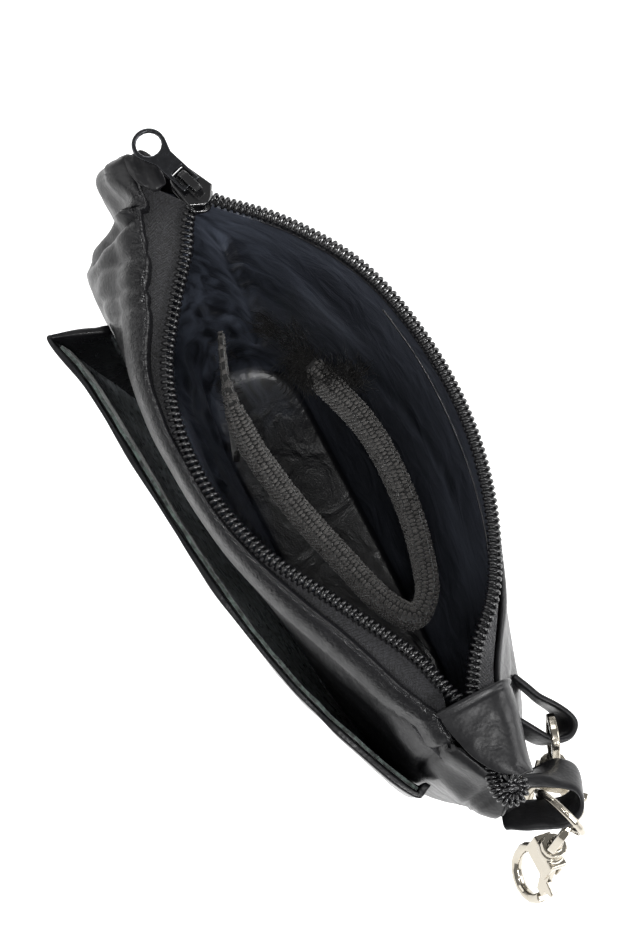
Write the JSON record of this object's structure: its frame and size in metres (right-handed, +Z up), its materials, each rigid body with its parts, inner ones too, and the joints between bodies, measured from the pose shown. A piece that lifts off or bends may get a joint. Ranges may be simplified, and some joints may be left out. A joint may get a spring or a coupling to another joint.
{
  "type": "belt bag",
  "caption": "Small upright leather bag that clips to a belt, with an open top zip, a front slip pocket, a lined inside with an elastic holster loop, and swivel clips.",
  "frame": {"origin": "middle of the flat base, on the surface that the bag stands on", "axes": "+X from the open zip's slider to its closed end with the clips, -Y towards the front with the slip pocket, +Z up"},
  "size_m": [0.214, 0.0863, 0.1435],
  "materials": {
    "black_leather": "soft black grained leather, semi-gloss",
    "raw_leather_edge": "turned edge with the greenish grey flesh side showing",
    "navy_satin": "navy black satin lining",
    "zip_tape": "matt black woven tape",
    "zip_coil": "glossy black nylon coil",
    "dark_metal": "dark gunmetal plating",
    "ribbed_elastic": "black ribbed elastic webbing",
    "bright_metal": "bright nickel plating"
  },
  "bodies": {
    "bag": {"front_panel": "black_leather", "back_panel": "black_leather", "base_panel": "black_leather", "lining": "navy_satin", "front_tape": "zip_tape", "back_tape": "zip_tape", "front_coil": "zip_coil", "back_coil": "zip_coil", "zip_tail": "zip_coil", "zip_slider": "dark_metal", "end_tab": "black_leather", "slider_tab": "black_leather", "front_pocket": "black_leather", "pocket_hem": "raw_leather_edge", "elastic_loop": "ribbed_elastic", "elastic_stem": "ribbed_elastic", "fray_inner": "ribbed_elastic", "fray_outer": "ribbed_elastic", "back_strap": "black_leather", "side_strap": "black_leather", "back_clip_eye": "bright_metal", "side_ring": "bright_metal", "side_clip_eye": "bright_metal"},
    "pull": {"zip_pull": "dark_metal"},
    "back_hook": {"back_clip_hook": "bright_metal"},
    "back_gate": {"back_clip_gate": "bright_metal"},
    "side_hook": {"side_clip_hook": "bright_metal"},
    "side_gate": {"side_clip_gate": "bright_metal"}
  },
  "joints": [
    {"name": "zip_pull_hinge", "type": "hinge", "parent": "bag", "child": "pull", "pos_m": [-0.07478, -0.00132, 0.141], "axis": [-0.3256, 0.9455, 0], "range_deg": [0, 150]},
    {"name": "back_clip_swivel", "type": "hinge", "parent": "bag", "child": "back_hook", "pos_m": [0.09128, 0.01552, 0.10383], "axis": [-0.5255, 0.1913, 0.829], "continuous": true},
    {"name": "back_clip_gate_hinge", "type": "hinge", "parent": "back_hook", "child": "back_gate", "pos_m": [0.09565, 0.01672, 0.10006], "axis": [-0.6151, 0.5878, -0.5255], "range_deg": [0, 28], "stiffness_Nm_per_rad": 0.01, "springref_deg": -11.46},
    {"name": "side_clip_swivel", "type": "hinge", "parent": "bag", "child": "side_hook", "pos_m": [0.10905, 0.00572, 0.10399], "axis": [-0.199, 0.408, 0.891], "continuous": true},
    {"name": "side_clip_gate_hinge", "type": "hinge", "parent": "side_hook", "child": "side_gate", "pos_m": [0.11281, 0.00354, 0.09999], "axis": [0.1111, 0.9127, -0.3932], "range_deg": [0, 28], "stiffness_Nm_per_rad": 0.01, "springref_deg": -11.46}
  ]
}
